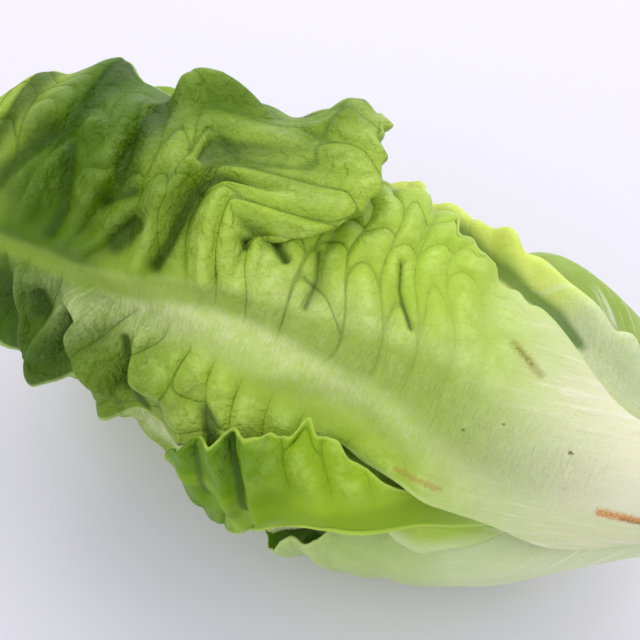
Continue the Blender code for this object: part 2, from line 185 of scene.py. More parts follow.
def thickness_at(leaf, arc, s, widen=1.0):
    """(the blade's thickness, the leaf's at this distance from its rib's middle line)"""
    share = np.clip((s - leaf.base) / leaf.length, 0, 1)
    blade = through(share, BLADE_THICKNESS_AT, BLADE_THICKNESS) * MM
    rib = np.maximum(through(share, RIB_AT, leaf.rib), blade)
    half = through(share, RIB_AT, RIB_HALF_WIDTH) * MM * widen
    return blade, blade + (rib - blade) * np.exp(-((arc / half) ** 2))


def cover(leaf, phi, s):
    """How far the leaf covers this place: 1 under it, 0 well past its margins and ends."""
    share = np.clip((s - leaf.base) / leaf.length, 0, 1)
    off = wrapped(phi - leaf.middle(share))
    half = np.where(off < 0, through(share, WIDTH_AT, leaf.low), through(share, WIDTH_AT, leaf.high))
    beyond = (np.abs(off) - half) * through(s, GIRTH_AT, GIRTH_RADIUS)
    beside = 1 - ramp(beyond, COVER_PAD, COVER_PAD + COVER_FALL)
    begins = ramp(s, leaf.base - BASE_PAD - BASE_FALL, leaf.base - BASE_PAD)
    ends = 1 - ramp(s, leaf.tip + TIP_PAD, leaf.tip + TIP_PAD + TIP_FALL)
    return beside * begins * ends


def slot(leaf, phi, s):
    """The depth of the leaf's layer here: the leaf, room for its waves and the gap above it."""
    share = np.clip((s - leaf.base) / leaf.length, 0, 1)
    arc = wrapped(phi - leaf.middle(share)) * through(s, GIRTH_AT, GIRTH_RADIUS)
    _, thickness = thickness_at(leaf, arc, s, widen=RIB_SLOT)
    return thickness + room_at(s) + gap_at(s)


def outside(j, i, s):
    """How far leaf j lies outside what has the order i. Along the crossing, the front leaf's
    margin comes out from under the top leaf and climbs over it."""
    none = np.zeros_like(s)
    if j == FRONT:
        return 1 - ramp(s, *CROSSING) if i > TOP else none
    if i == FRONT:
        return 1 - ramp(s, *CROSSING) if j == TOP else none
    return none + 1 if j < i else none


def spread(s):
    """How much deeper than its slot an inner leaf's layer is, so that the heart fills the head."""
    usual = BLADE_THICKNESS[0] * MM + room_at(s) + gap_at(s)
    left = through(s, GIRTH_AT, GIRTH_RADIUS) - CORE_RADIUS - OUTER_LAYERS * usual
    heart = HEART_LAYERS * usual * np.maximum(ramp(s, *HEART_OPENS), 0.1)
    return np.clip(left / heart, 1, MOST_SPREAD)


def layer_top(order, phi, s):
    """(radius under the leaves that lie outside this one, how far they cover it)"""
    depth = np.full(np.broadcast(phi, s).shape, HEART_GAP if order >= FIRST_OF_HEART else 0.0)
    covered = np.zeros_like(depth)
    for j, leaf in enumerate(leaves):
        weight = outside(j, order, s)
        if j == order or np.max(weight) == 0:
            continue
        share = cover(leaf, phi, s) * weight
        depth += share * slot(leaf, phi, s) * (spread(s) if j >= FIRST_OF_HEART else 1)
        covered = np.maximum(covered, share)
    front = leaves[FRONT]
    if order == FRONT:
        depth -= ramp(s, *CROSSING) * slot(front, phi, s)
    else:
        covered = np.maximum(covered, cover(front, phi, s) * ramp(s, *CROSSING))
    return girth(phi, s) - depth, covered


# The leaves' blades. Each grew as one thin sheet, thick at its white base, with a raised midrib.
# Side veins run out from the rib and join in loops, and the green tissue puffs up between them.
# The margin is wavy and cut into low teeth.

PLEAT_LENGTH = 15 * MM
PLEAT_LEAN = 0.4
PLEATS_START = (45 * MM, 105 * MM)
PLEATS_OFF_RIB = (5 * MM, 20 * MM)
RUFFLE_LENGTH = 30 * MM
RUFFLE_SWING = 0.45
RUFFLED_MARGIN = (0.62, 1.0)
RUFFLED_LENGTH = (0.15, 0.35)
TOOTH_LENGTH = 13 * MM
TOOTH_HEIGHT = 0.035
SMALL_TEETH = 0.016
SMALL_TOOTH_LENGTH = 0.75 * MM
SMALL_TEETH_DRIFT = 4.1 * MM
SMALL_TEETH_PATCHES = 5.3 * MM
TOOTHED_MARGIN = (0.8, 1.0)
SMALL_TOOTHED_MARGIN = (0.93, 1.0)
NOTCHED_MARGIN = (0.75, 1.0)
TOOTHED_LENGTH = (0.2, 0.4)
FLAT_SECTOR = (math.radians(26), math.radians(40))
TIP_ROUNDING = 0.10
TIP_ROUNDED_FROM = 0.7
TIP_ROUNDING_POWER = 2.2
THIN_MARGIN = 0.45
THINNED_MARGIN = (0.8, 1.0)

VEIN_PITCH = 7.2
VEIN_LEAN = 0.12
FIRST_LOOP = 13.0
LOOP_PITCH = 8.5
LOOP_ARCH = 3.2
PUFF_WIDTH = 1.5
PUFF_COVERED = 0.3 * MM
PUFF_FREE = 1.2 * MM
PUFFS_START = (36 * MM, 78 * MM)
PUFFS_OFF_RIB = (3 * MM, 9 * MM)


def vein_puff(maths, s, a, seed):
    """How puffed the tissue is, 0 on a vein and near 1 amid a cell, at s along and a across the
    flat leaf in mm. Side veins are lines of equal s, bent by three slow waves. Past the first
    loop each strip between two of them is cut across, at a distance drawn from its number.
    maths is numpy, or Nodes for the same in a material."""
    out = maths.abs(a)
    warp = maths.sin(s / 8.3 + a / 9.9 + seed) * 2.1 + maths.sin(a / 5.1 - s / 14.7 + 2.1 * seed) * 1.3
    warp = warp + maths.sin(s / 3.7 + a / 4.3 + 3 * seed) * 0.5
    strip = (s - out * VEIN_LEAN + warp + maths.sign(a) * 1.9) / VEIN_PITCH
    number = maths.floor(strip)
    along = (0.5 - maths.abs(strip - number - 0.5)) * VEIN_PITCH
    drawn = maths.sin(number * 12.99 + maths.sign(a) * 4.7 + seed) * 43.76
    drawn = drawn - maths.floor(drawn)
    arch = maths.sin((strip - number) * math.pi) * LOOP_ARCH
    loop = (out + warp * 1.8 - arch - FIRST_LOOP - drawn * 10) / (drawn * 4 + LOOP_PITCH)
    nearest = maths.maximum(maths.floor(loop + 0.5), 0)
    across = maths.abs(loop - nearest) * LOOP_PITCH
    return (1 - maths.exp(along / -PUFF_WIDTH)) * (1 - maths.exp(across / -PUFF_WIDTH))


def leaf_form(leaf, u, v, shape):
    """(outer skin, inner skin, flat place, masks) of a leaf on a grid, u along and v across.

    The blade lies in its layer. Its rib, pleats, puffed cells and wavy margin also stand out of
    the layer as far as what covers the leaf leaves room. A pleat is half a sine wave along s,
    drawn to one side by the leaf's skew, and the hollows are the valleys between pleats. shape
    adds what only this leaf has: it takes the place on the flat leaf, the share of the half
    width, how free the leaf is, and the lift and the hollows so far, and gives the new lift, a
    lean towards the stem and the new hollows. The flat place is s, a and the distance from the
    margin, in mm, and the masks are the rib, the hollows and the share of the length.
    """
    side = np.abs(v)
    rounding = TIP_ROUNDING * ramp(u, TIP_ROUNDED_FROM, 1)
    s = leaf.base + leaf.length * (u - rounding * side**TIP_ROUNDING_POWER)
    share = (s - leaf.base) / leaf.length
    half = np.where(v < 0, through(share, WIDTH_AT, leaf.low), through(share, WIDTH_AT, leaf.high))
    teeth = TOOTH_HEIGHT * np.sin(2 * math.pi * s / TOOTH_LENGTH + 2 * leaf.order + v)
    small = np.sin(s / SMALL_TOOTH_LENGTH + 3 * np.sin(s / SMALL_TEETH_DRIFT + leaf.order) + 2 * v)
    small = SMALL_TEETH * small * ramp(np.sin(s / SMALL_TEETH_PATCHES + leaf.order), -0.6, 0.6)
    teeth = teeth * ramp(side, *TOOTHED_MARGIN) + small * ramp(side, *SMALL_TOOTHED_MARGIN)
    teeth = teeth * ramp(u, *TOOTHED_LENGTH)
    for at, long, high in leaf.notches:
        teeth += high * np.exp(-((s / MM - at) ** 2) / long**2) * ramp(side, *NOTCHED_MARGIN) * (v < 0)
    phi = leaf.middle(share) + v * half * (1 + teeth)
    top, covered = layer_top(leaf.order, phi, s)
    free = (1 - covered) ** 2
    arc = v * half * through(s, GIRTH_AT, GIRTH_RADIUS)
    blade, thickness = thickness_at(leaf, arc, s)
    bump = (thickness - blade) / np.maximum(through(share, RIB_AT, leaf.rib) - blade, 0.1 * MM)

    off_rib = ramp(np.abs(arc), *PLEATS_OFF_RIB)
    slant = np.where(v < 0, *leaf.pleat_slant)
    pleats = (s - slant * np.abs(arc)) / PLEAT_LENGTH + np.where(v < 0, *leaf.pleat_phase)
    within = pleats - np.floor(pleats)
    toward_stem = np.where(v < 0, 1, -1) if leaf.pleat_skew > 1 else 1
    within = np.where(toward_stem > 0, 1 - within, within)
    wave = np.sin(math.pi * within**leaf.pleat_skew)
    hollow = (1 - wave) ** 2 * off_rib * ramp(s, *PLEATS_START) * free
    wave = wave * off_rib
    standing = wave * ramp(s, *PLEATS_START) * leaf.pleat * free
    lift = wave * ROOM_USED * room_at(s) + standing
    swing = np.sin(2 * math.pi * s / RUFFLE_LENGTH + 2.3 * leaf.order + 1.5 * np.sign(v))
    ruffle = 1 - RUFFLE_SWING + RUFFLE_SWING * swing
    lift += leaf.ruffle * free * ruffle * ramp(side, *RUFFLED_MARGIN) * ramp(u, *RUFFLED_LENGTH)
    lift += leaf.raised * free * bump
    puff = vein_puff(np, s / MM, arc / MM, leaf.order)
    puff_height = (PUFF_COVERED + PUFF_FREE * free) * ramp(s, *PUFFS_START)
    lift += puff * puff_height * ramp(np.abs(arc), *PUFFS_OFF_RIB)
    lift, lean, hollow = shape(s, arc, side, free, lift, hollow)
    lean = lean + PLEAT_LEAN * standing * toward_stem

    radius = top - gap_at(s) - room_at(s) - thickness / 2 + lift
    lifted = np.ones_like(radius)
    if leaf.name == "leaf_under":
        lifted = ramp(np.abs(wrapped(phi - math.pi)), *FLAT_SECTOR)
        lowest = girth(phi, s) - thickness / 2
        radius = lowest + (radius - lowest) * lifted
    points = place(radius, phi, s - lean)

    normal = np.cross(np.gradient(points, axis=0), np.gradient(points, axis=1))
    normal /= np.linalg.norm(normal, axis=-1, keepdims=True)
    outward = place(1.0, phi, s) - place(0.0, phi, s)
    normal *= np.sign(np.sum(normal * outward, -1).mean())
    normal = normal * lifted[..., None] + outward * (1 - lifted)[..., None]
    thin = blade * (1 - THIN_MARGIN * ramp(side, *THINNED_MARGIN))
    half_skin = normal * thin[..., None] / 2 + outward * (thickness - blade)[..., None] / 2
    outer = points + half_skin
    outer[..., 2] = np.maximum(outer[..., 2], 0)
    inner = points - half_skin
    inner[..., 2] = np.maximum(inner[..., 2], 0)
    margin = (1 - side) * half * through(s, GIRTH_AT, GIRTH_RADIUS)
    flat = np.stack([s, arc, np.minimum(margin, leaf.tip - s)], -1) / MM
    masks = np.stack([bump, hollow, share], -1)
    return outer, inner, flat, masks


def plain(s, arc, side, free, lift, hollow):
    """A leaf with nothing of its own: the lift and the hollows as they are, and no lean."""
    return lift, 0 * lift, hollow


def off_line(x, y, line):
    """The least distance from each place to a bent line through the given points."""
    least = np.full(x.shape, 1e3)
    for (x0, y0), (x1, y1) in zip(line, line[1:]):
        dx, dy = x1 - x0, y1 - y0
        t = np.clip(((x - x0) * dx + (y - y0) * dy) / (dx * dx + dy * dy), 0, 1)
        least = np.minimum(least, np.hypot(x - x0 - t * dx, y - y0 - t * dy))
    return least


def folded(s, arc, free, lift, hollow, ridges, grooves):
    """(lift, lean, hollow) with a leaf's own folds. A ridge is its height, its lean towards the
    stem, its half width and a bent line on the flat leaf. A groove, which brings the blade back
    down to its layer, is its share of the full depth, its half width and its line. All in mm."""
    lean = 0 * lift
    for height, tipped, half_width, *line in ridges:
        near = np.exp(-((off_line(s / MM, arc / MM, line) / half_width) ** 2)) * free
        lift = lift + height * MM * near
        lean = lean + tipped * MM * near
        hollow = hollow * (1 - near)
    for depth, half_width, *line in grooves:
        near = depth * np.exp(-((off_line(s / MM, arc / MM, line) / half_width) ** 2))
        lift = lift * (1 - near * free)
        lean = lean * (1 - near * free)
        hollow = np.maximum(hollow, near)
    return lift, lean, hollow


def closed_sheet(name, outer, inner, flat, masks):
    """A closed sheet between two skins on the same grid, with its flat place and its masks kept
    on its points."""
    rows, columns = outer.shape[:2]
    points = np.concatenate([outer.reshape(-1, 3), inner.reshape(-1, 3)])
    index = np.arange(rows * columns).reshape(rows, columns)
    a, b = index[:-1, :-1].ravel(), index[:-1, 1:].ravel()
    c, d = index[1:, 1:].ravel(), index[1:, :-1].ravel()
    skin = np.stack([a, b, c, d], 1)
    shift = rows * columns
    rim = np.concatenate([index[0, :], index[1:, -1], index[-1, -2::-1], index[-2:0:-1, 0]])
    after = np.roll(rim, -1)
    walls = np.stack([after, rim, rim + shift, after + shift], 1)
    faces = np.concatenate([skin, skin[:, ::-1] + shift, walls])
    corners = points[faces[:, :3]]
    volume = np.einsum("ij,ij->i", corners[:, 0], np.cross(corners[:, 1], corners[:, 2])).sum()
    if volume < 0:
        faces = faces[:, ::-1]
    mesh = bpy.data.meshes.new(name)
    mesh.from_pydata(points.tolist(), [], faces.tolist())
    for key, values in (("flat", flat), ("masks", masks)):
        stored = mesh.attributes.new(key, "FLOAT_VECTOR", "POINT")
        both = np.concatenate([values.reshape(-1, 3), values.reshape(-1, 3)])
        stored.data.foreach_set("vector", both.astype(np.float32).ravel())
    mesh.shade_smooth()
    made = bpy.data.objects.new(name, mesh)
    bpy.context.scene.collection.objects.link(made)
    return made


def grow(leaf, material, shape=plain, crowd=0.0, crowd_at=0.5):
    """Makes a leaf's sheet, which stands for its solid. Its columns are shared between its two
    sides by their widths, and its rows may crowd round one share of its length."""
    t = np.linspace(0, 1, leaf.rows + 1)
    turn = 2 * math.pi * (t - crowd_at)
    t = t - crowd * (np.sin(turn) - math.sin(-2 * math.pi * crowd_at)) / (2 * math.pi)
    wide = leaf.low.mean() / (leaf.low.mean() + leaf.high.mean())
    low_columns = max(4, round(leaf.columns * wide))
    v = np.concatenate(
        [np.linspace(-1, 0, low_columns + 1)[:-1], np.linspace(0, 1, leaf.columns - low_columns + 1)]
    )
    across, along = np.meshgrid(v, t)
    made = closed_sheet(leaf.name + "_grown", *leaf_form(leaf, along, across, shape))
    made.data.materials.append(material)
    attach(made, "root")
    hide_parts(leaf.name)
    return made


class Nodes:
    """A socket of a material, for maths. Operators on it add Math nodes, and its named functions
    are numpy's, so that a formula can take either."""

    def __init__(self, tree, socket):
        self.tree = tree
        self.socket = socket

    def node(self, kind, settings, inputs, output=0):
        """Adds a node: its settings first, then the values or links of its sockets."""
        made = self.tree.nodes.new(kind)
        for key, value in settings.items():
            setattr(made, key, value)
        for key, value in inputs.items():
            if isinstance(value, Nodes):
                self.tree.links.new(value.socket, made.inputs[key])
            else:
                made.inputs[key].default_value = value
        return Nodes(self.tree, made.outputs[output] if made.outputs else None)

    def math(self, operation, *others):
        values = (self,) + others
        return self.node("ShaderNodeMath", {"operation": operation}, dict(enumerate(values)))

    def __add__(self, other):
        return self.math("ADD", other)

    __radd__ = __add__

    def __mul__(self, other):
        return self.math("MULTIPLY", other)

    __rmul__ = __mul__

    def __sub__(self, other):
        return self.math("SUBTRACT", other)

    def __rsub__(self, other):
        return self.math("MULTIPLY_ADD", -1.0, other)

    def __truediv__(self, other):
        return self.math("DIVIDE", other)

    def __pow__(self, other):
        return self.math("POWER", other)

    @staticmethod
    def abs(x):
        return x.math("ABSOLUTE")

    @staticmethod
    def sign(x):
        return x.math("SIGN")

    @staticmethod
    def sin(x):
        return x.math("SINE")

    @staticmethod
    def exp(x):
        return x.math("EXPONENT")

    @staticmethod
    def floor(x):
        return x.math("FLOOR")

    @staticmethod
    def maximum(x, least):
        return x.math("MAXIMUM", least)

    def step(self, low, high):
        """0 below low, 1 above high, and a smooth step between them; low may be the higher."""
        inputs = {"Value": self, "From Min": low, "From Max": high}
        return self.node("ShaderNodeMapRange", {"interpolation_type": "SMOOTHSTEP"}, inputs)

    def mix(self, below, above):
        """The colour below where this is 0, and the colour above where it is 1."""
        return self.node("ShaderNodeMix", {"data_type": "RGBA"}, {0: self, 6: below, 7: above}, 2)


def seen(red, green, blue):
    """A colour as it looks on a screen, each part up to 255, as the linear one that shaders use."""
    return tuple((part / 255) ** 2.2 for part in (red, green, blue)) + (1.0,)


DEEP_SHADE = seen(52, 82, 12)
TIP_GREEN = seen(168, 194, 66)
# The white of the neck's fibres, also used for painted glassy highlights and glints.
WHITE_FIBRES_AND_GLINTS = seen(250, 250, 236)
NECK_GREEN = seen(206, 218, 156)
# The flanks' pale tissue, partly painted sheen.
PALE_FLANK_AND_SHEEN = seen(232, 243, 178)

# Where something begins and where it is full, in mm along or across the flat leaf.
BLADE_BEGINS = (30.0, 62.0)
BLADE_OFF_RIB = (3.0, 9.0)
VEINS_DARKEN = (38.0, 100.0)
VERY_TIP = (142.0, 160.0)
FRONT_DARKENS = (98.0, 122.0)
FRONT_DARKENS_ACROSS = (8.0, 20.0)
NECK = (54.0, 26.0)
NECK_SIDE = (58.0, 34.0)
NECK_SIDE_ACROSS = (1.0, 11.0)
RIB_GREENS = (16.0, 54.0)
BAND_EDGE = (3.6, 1.0)
BAND_WIDENS = (92.0, 36.0)
SILVER_ACROSS = (15.0, 3.0)
SILVER_BEGINS = (12.0, 30.0)
SILVER_ENDS = (150.0, 100.0)
SILVER_ABOVE = (0.5, 3.5)
SILVER_ABOVE_ENDS = (76.0, 102.0)
CREASES_BEGIN = (50.0, 110.0)
CREASES_EASE = (145.0, 105.0)
RIM_BEGINS = (20.0, 50.0)


def leaf_finish(
    name, seed, base, middle, tip, rib, vein, rim, marks=(), green_from=(22.0, 66.0), flanks=1.0, veins=1.0,
    rim_width=1.1, shade=DEEP_SHADE, rib_aside=0.0, tip_from=(85.0, 135.0),
):
    """A leaf's material: the colour at the base, greener from green_from and tip_from on, with
    pale, finely ribbed flanks beside the rib, whose colour is partly their own white tissue and
    partly painted sheen, with painted highlights as white glints on them, dark sunk veins in a
    loose net, lighter puffs between them, shade in the hollows and a bright line of rim_width along
    the margin. flanks and veins are how strong those are. Along the neck run white streaks, partly
    its fibres and partly painted glassy highlights. The rib's colour follows the rib where
    rib_aside is 0. Where it is 1, as on the top leaf, it lies in a band that wanders to either side
    of the rib, the neck gets a green of its own and the front half painted shade. marks are scars
    and specks on the flat leaf: where each begins and ends, its half width, its colour and how
    strong it is."""
    material = bpy.data.materials.new(name)
    material.use_nodes = True
    tree = material.node_tree
    tree.nodes.clear()
    start = Nodes(tree, None)
    flat = start.node("ShaderNodeAttribute", {"attribute_name": "flat"}, {}, 1)
    masks = start.node("ShaderNodeAttribute", {"attribute_name": "masks"}, {}, 1)
    s = flat.node("ShaderNodeSeparateXYZ", {}, {0: flat}, 0)
    a = Nodes(tree, s.socket.node.outputs[1])
    margin = Nodes(tree, s.socket.node.outputs[2])
    ribbed = masks.node("ShaderNodeSeparateXYZ", {}, {0: masks}, 0)
    hollow = Nodes(tree, ribbed.socket.node.outputs[1])
    out = Nodes.abs(a)

    spot = start.node("ShaderNodeTexCoord", {}, {}, 3)

    def noise(scale, detail, vector=spot, stretch=(1 / MM, 1 / MM, 1 / MM)):
        """Cloudy noise, its scale in steps for each mm."""
        scaled = flat.node("ShaderNodeMapping", {}, {"Vector": vector, "Scale": stretch})
        inputs = {"Vector": scaled, "Scale": scale, "Detail": detail, "Roughness": 0.6}
        return flat.node("ShaderNodeTexNoise", {"noise_dimensions": "3D"}, inputs)

    cloud = noise(0.06, 2)
    mottle = noise(0.35, 3)
    grain = noise(2.2, 3)
    lines_across = noise(1.9, 4, flat, (1, 0.2, 0))

    # The band's middle: 4 mm aside towards the tip, -9 mm half way along, and on the rib at the neck.
    aside = 4 - s.step(128.0, 78.0) * 13 + s.step(66.0, 30.0) * 9
    off_band = Nodes.abs(a - aside * rib_aside)
    band = (off_band / (s.step(*BAND_WIDENS) * 2.2 + 1)).step(*BAND_EDGE)
    band = band * rib_aside + ribbed.step(0.4, 0.85) * (1 - rib_aside)
    puff = vein_puff(Nodes, s, a, seed)
    blade = s.step(*BLADE_BEGINS) * out.step(*BLADE_OFF_RIB) * veins
    line = puff.step(0.22, 0.03) * blade
    net = flat.node(
        "ShaderNodeTexVoronoi",
        {"feature": "DISTANCE_TO_EDGE", "voronoi_dimensions": "3D"},
        {"Vector": flat.node("ShaderNodeMapping", {}, {"Vector": flat, "Scale": (1, 1, 0)}), "Scale": 0.3},
    )
    fine_line = net.step(0.07, 0.01) * blade

    crumple = noise(0.22, 4)
    crease = Nodes.abs(crumple - 0.5)
    green = (s + cloud * 24 - 12).step(*green_from).mix(base, middle)
    green = (s + cloud * 30 - 15).step(*tip_from).mix(green, tip)
    green = ((s + cloud * 16 - 8).step(*VERY_TIP) * 0.8).mix(green, TIP_GREEN)
    beside_neck = a.step(*NECK_SIDE_ACROSS) * s.step(*NECK_SIDE) * rib_aside
    green = (beside_neck * 0.6).mix(green, NECK_GREEN)
    # Painted shade on the top leaf's front half, towards its tip.
    front_painted_shade = a.step(*FRONT_DARKENS_ACROSS) * s.step(*FRONT_DARKENS) * rib_aside
    green = (front_painted_shade * 0.4).mix(green, DEEP_SHADE)
    # White streaks along the neck: its pale fibres, partly painted glassy highlights; greener between them.
    fibres = noise(0.8, 3, flat, (0.1, 1, 0))
    neck = s.step(*NECK)
    green = (fibres.step(0.52, 0.72) * neck * 0.6).mix(green, WHITE_FIBRES_AND_GLINTS)
    green = (fibres.step(0.48, 0.34) * neck * 0.3).mix(green, NECK_GREEN)
    lighter = green.node("ShaderNodeHueSaturation", {}, {"Saturation": 0.88, "Value": 1.36, "Color": green})
    green = (puff.step(0.35, 0.85) * blade * mottle.step(0.35, 0.7) * 0.75).mix(green, lighter)
    # The flanks beside the rib: their pale tissue and a painted sheen, weaker above the band.
    flank_and_sheen = off_band.step(*SILVER_ACROSS) * s.step(*SILVER_BEGINS) * s.step(*SILVER_ENDS)
    flank_and_sheen = flank_and_sheen * (lines_across.step(0.30, 0.75) * 0.5 + mottle.step(0.3, 0.7) * 0.3 + 0.2) * flanks
    above = (aside * rib_aside - a).step(*SILVER_ABOVE)
    flank_and_sheen = flank_and_sheen * (1 - above * (s.step(*SILVER_ABOVE_ENDS) * 0.55 + 0.4))
    green = flank_and_sheen.mix(green, PALE_FLANK_AND_SHEEN)
    # Painted highlights: white glints speckled on the flanks.
    painted_glints = grain.step(0.56, 0.68) * lines_across.step(0.45, 0.65) * flank_and_sheen
    green = (painted_glints * 0.8).mix(green, WHITE_FIBRES_AND_GLINTS)
    rib_colour = s.step(*RIB_GREENS).mix(base, rib)
    green = (band * (0.5 + lines_across * 0.5)).mix(green, rib_colour)
    green = (line * (mottle * 0.8 + 0.2) * s.step(*VEINS_DARKEN)).mix(green, vein)
    green = (fine_line * 0.06).mix(green, vein)
    green = (hollow.step(0.12, 0.9) * 0.78).mix(green, shade)
    green = (margin.step(rim_width, 0.2) * s.step(*RIM_BEGINS) * 0.7).mix(green, rim)
    for (s0, a0), (s1, a1), half_width, colour, strength in marks:
        length = math.hypot(s1 - s0, a1 - a0) + 1e-6
        du, dv = (s1 - s0) / length, (a1 - a0) / length
        beside = Nodes.abs((s - s0) * dv - (a - a0) * du)
        onward = (s - s0) * du + (a - a0) * dv
        beyond = Nodes.maximum(Nodes.abs(onward - length / 2) - length / 2, 0)
        ragged = (beside * beside + beyond * beyond) ** 0.5 + (grain - 0.5) * min(half_width * 3, 3)
        streaks = grain.step(0.25, 0.5) * strength
        green = (ragged.step(half_width, half_width * 0.2) * streaks).mix(green, colour)

    height = puff * blade * 0.5 + lines_across * flank_and_sheen * 0.9 + grain * 0.16 + mottle * 0.3
    creased = crease.step(0.0, 0.14) * blade * s.step(*CREASES_BEGIN)
    height = height + creased * (s.step(*CREASES_EASE) * 0.3 + 0.3)
    height = height + fibres * neck * 0.5
    height = height - fine_line * 0.06
    bump = height.node("ShaderNodeBump", {}, {"Height": height, "Strength": 0.85, "Distance": 0.8 * MM})
    rough = mottle * 0.25 + 0.32 - flank_and_sheen * 0.1
    inputs = {
        "Base Color": green,
        "Roughness": rough,
        "IOR": 1.40,
        "Specular IOR Level": 0.28,
        "Subsurface Weight": 0.35,
        "Subsurface Radius": (0.7, 1.0, 0.25),
        "Subsurface Scale": 1.6 * MM,
        "Normal": bump,
    }
    shader = green.node("ShaderNodeBsdfPrincipled", {"subsurface_method": "RANDOM_WALK"}, inputs)
    shader.node("ShaderNodeOutputMaterial", {}, {"Surface": shader})
    return material


# The two uppermost leaves, whose thin blades cross. The front one, a loose piece of an outer
# leaf, comes out from under the top one and climbs over its margin, so that the layer of each
# depends on the other's outline.

leaf_front = Leaf(
    "leaf_front", 60, 32, 6, 101,
    (11, 11, 13, 12, 6, 8.5, 25, 22, 17, 8),
    (14, 11, 7, 5, 6, 4, 2, 15, 22, 13),
    MIDDLE_RIB, 0.3, 0.6, 0.8, (230, 110),
)
leaf_top = Leaf(
    "leaf_top", 38, 14, 4, 172,
    (34, 29, 48, 62, 82, 92, 94, 88, 74, 34),
    (46, 46, 27, 18, 13, 38, 44, 42, 36, 20),
    OUTER_RIB, 2.5, 2.6, 3.0, (296, 164),
)

# The top leaf, the largest: a thick white midrib from the stem, rolls and pockets between its
# side veins towards the tip, and a back half that folds over towards the stem as a lobe.

FOLD_FOOT = (91 * MM, 100 * MM)
FOLD_BACK = (106 * MM, 122 * MM)
FOLD_LEAN_BACK = (104 * MM, 140 * MM)
FOLD_SLANT_FROM = 97 * MM
FOLD_SLANT = 1.2
FOLD_BEGINS = (17 * MM, 24 * MM)
FOLD_REACH = 15 * MM
FOLD_LOBE = 8 * MM
FOLD_LOBE_AT = 36 * MM
FOLD_LOBE_WIDTH = 13 * MM
FOLD_HEIGHT = 5 * MM
FOLD_MARGIN_HEIGHT = 8 * MM
FOLD_RISES = (22 * MM, 60 * MM)
LOBE_TEETH = ((-56, 3.0, 2.6), (-50, 1.4, 1.0), (-44.5, 1.6, 1.5), (-37, 1.8, 1.2), (-31, 1.5, 0.9))
FOLD_ROWS_AT = 0.56
FOLD_ROWS_CROWD = 0.5
FLARE_SMOOTH = 0.75
FLARE_FROM = (80 * MM, 110 * MM)
FLARE_LIES = (0.45, 0.85)
FLARED_MARGIN = (0.6, 1.0)
leaf_top.pleat_slant = (0.1, -0.35)
leaf_top.pleat_phase = (0.8, 0.467)
leaf_top.pleat_skew = 1.9
leaf_top.notches = (
    (44, 1.5, -0.05), (49.5, 1.6, -0.08), (52.5, 1.2, 0.05), (56, 1.0, -0.04), (60.3, 1.3, -0.08),
    (62.6, 0.9, 0.06), (67, 1.4, -0.07), (71.5, 1.2, 0.08), (75.5, 1.6, -0.07), (79, 1.2, 0.06),
)
FLARE_WAVES = ((121, 3.6, 4.0), (130.5, 3.0, -2.5), (143.5, 5.5, 5.5), (157, 4, 2.0))
TOP_RIDGES = (
    (5.1, 1.5, 2.6, (112, -4), (112, -9), (112, -13), (111.5, -19), (110.5, -24)),
    (2.6, 1.5, 1.7, (125, -2), (121.5, -6), (119, -10.6), (115.5, -13.8), (113.5, -15.5)),
    (2.6, 1.0, 2.0, (129, -3), (128, -7), (127, -11), (126, -15)),
    (3.0, 0.5, 2.2, (140, -4), (139, -10), (138, -16), (134, -24)),
    (2.6, 0.5, 2.0, (99, -6.5), (101, -13), (102.5, -17), (102, -21)),
    (2.0, 0.5, 1.8, (92, -9), (92, -14), (94, -19)),
    (1.3, 0.2, 3.5, (63, -30), (61, -24), (57, -17)),
    (1.8, 0.4, 3.0, (78, -30), (76, -24), (74, -17)),
    (3.0, 0.0, 2.2, (107.5, -50), (107.5, -56)),
    (5.5, -1.0, 2.4, (122.5, -44), (121.8, -49.5)),
    (4.2, -1.2, 2.4, (123, 8.5), (126.5, 15.5), (129.3, 21.7), (130, 27)),
    (
        4.8, -1.6, 1.8,
        (121, 7), (118, 10), (119.5, 13.2), (117.4, 16), (114, 19), (112, 22), (110, 24.5), (104, 25),
    ),
    (3.2, -1.0, 1.6, (106.5, 9), (106.5, 14), (105.5, 18), (103.5, 23)),
    (3.5, 0.0, 2.2, (137, 9), (137, 14), (135, 19), (135, 25)),
    (2.0, -0.5, 1.6, (99, 9), (98, 15), (96, 21)),
    (1.6, 0.0, 1.5, (88, 9), (87, 14), (85, 18)),
)
TOP_GROOVES = (
    (0.95, 1.7, (109.5, -4.7), (108.3, -9), (108, -15), (108, -20), (107, -24.5), (105, -27.5)),
    (1.0, 3.0, (119, -5.5), (116.5, -9.9)),
    (0.8, 1.8, (124.5, -12), (119.5, -16)),
    (0.85, 2.2, (136.3, -20), (134.2, -13.7), (132.1, -7.7), (133.5, -2)),
    (0.85, 3.2, (149, -9), (144.7, -17.3), (140, -24)),
    (0.95, 1.3, (97.8, -21), (94.5, -17)),
    (0.9, 1.6, (91, -22), (87, -19)),
    (0.8, 0.8, (67.7, -29.4), (66, -24), (61.4, -17)),
    (0.7, 1.2, (82, -24), (80, -19), (80, -13)),
    (1.0, 2.6, (132.8, 11.9), (131.5, 14)),
    (0.8, 4.0, (143, 12), (141, 17)),
    (0.9, 2.0, (123.5, 10.5), (123.5, 15), (123.5, 20), (122.5, 26)),
    (0.95, 1.4, (112, 12), (110.4, 16.7), (110.5, 21), (108.5, 22.5), (107, 27)),
    (1.0, 3.0, (91.5, 17), (90, 22)),
)
DEEP_GREEN = seen(82, 116, 6)
BLADE_GREEN = seen(174, 203, 70)
BASE_GREEN = seen(240, 240, 206)
RIB_GREEN = seen(150, 178, 60)
VEIN_GREEN = seen(82, 118, 20)
RIM_GREEN = seen(196, 220, 130)
ORANGE_SCAR = seen(214, 138, 48)
RED_SCAR = seen(176, 120, 66)
OLIVE_SCAR = seen(140, 130, 40)
DARK_SPECK = seen(70, 70, 24)
